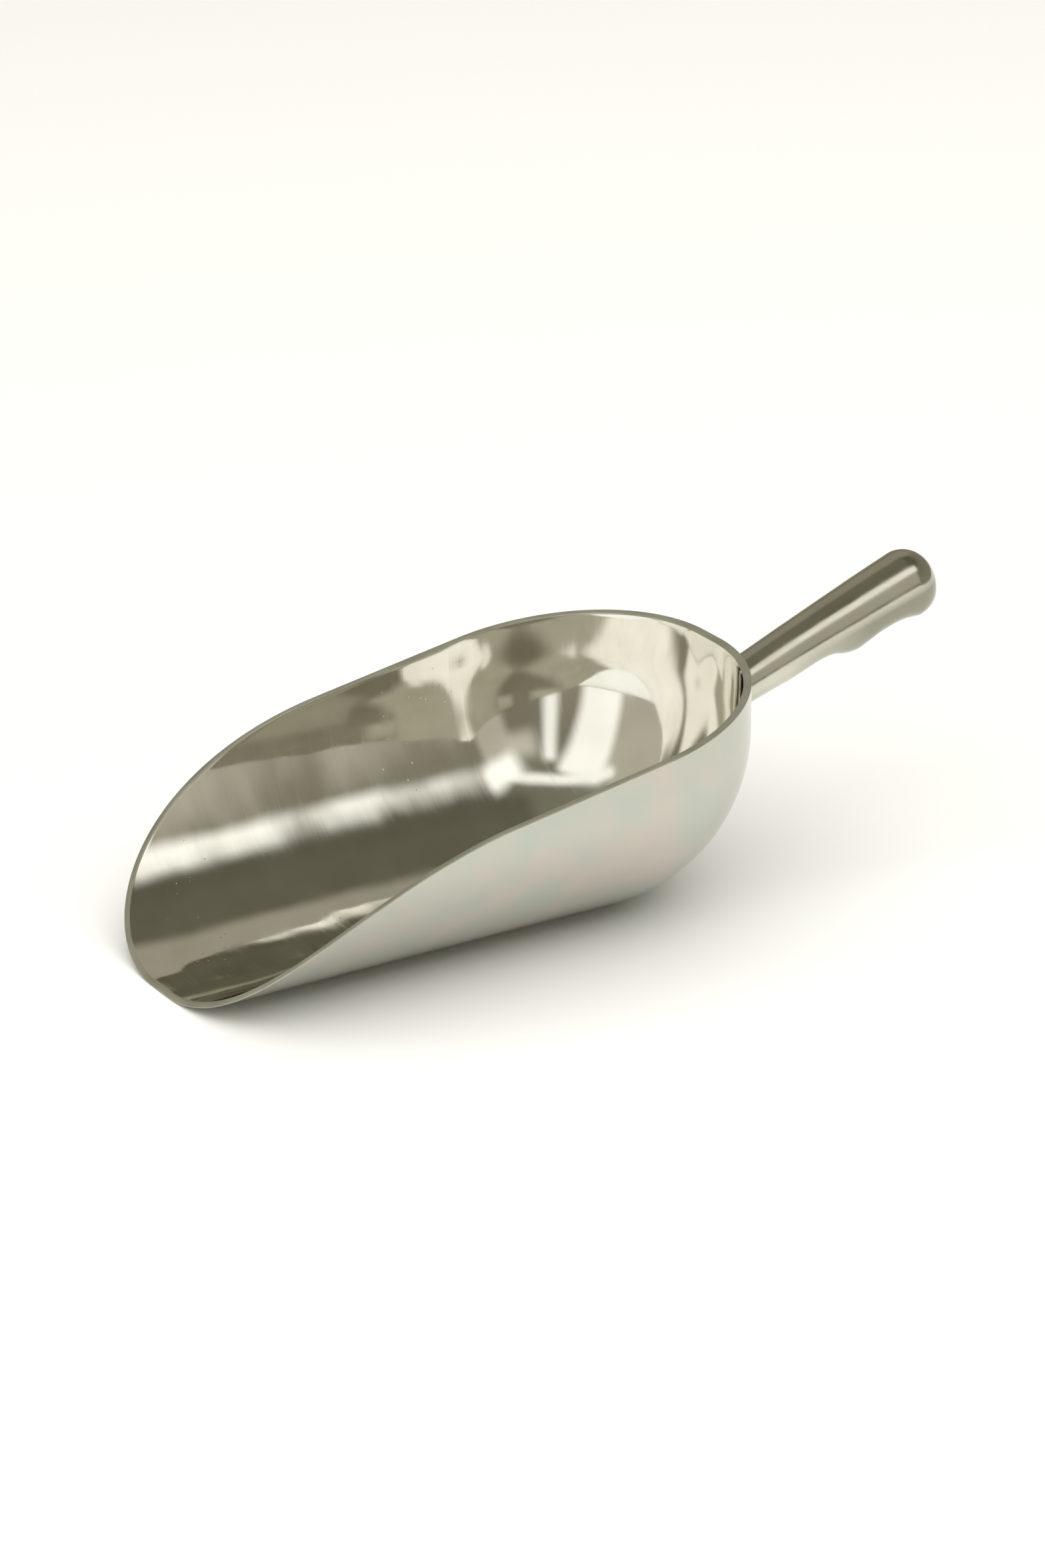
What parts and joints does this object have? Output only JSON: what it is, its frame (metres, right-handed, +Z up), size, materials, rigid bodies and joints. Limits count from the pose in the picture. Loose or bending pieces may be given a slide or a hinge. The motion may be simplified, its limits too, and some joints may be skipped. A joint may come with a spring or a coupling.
{
  "type": "ice scoop",
  "caption": "Deep round-backed cast scoop with a slanted rim running down to an open lip and a contoured handle rising from its back.",
  "frame": {"origin": "middle of the flat strip along the belly, on which the scoop rests", "axes": "+X points out over the lip and away from the handle, +Y to the left of someone holding the handle, +Z up"},
  "size_m": [0.3919, 0.168, 0.1202],
  "materials": {
    "bowl": "polished inside with fine brush marks, satin outside",
    "handle": "satin, brushed along its length",
    "handle_weld": "matt, ground smooth"
  },
  "bodies": {
    "root": {"bowl": "bowl", "handle": "handle", "handle_weld": "handle_weld"}
  },
  "joints": []
}
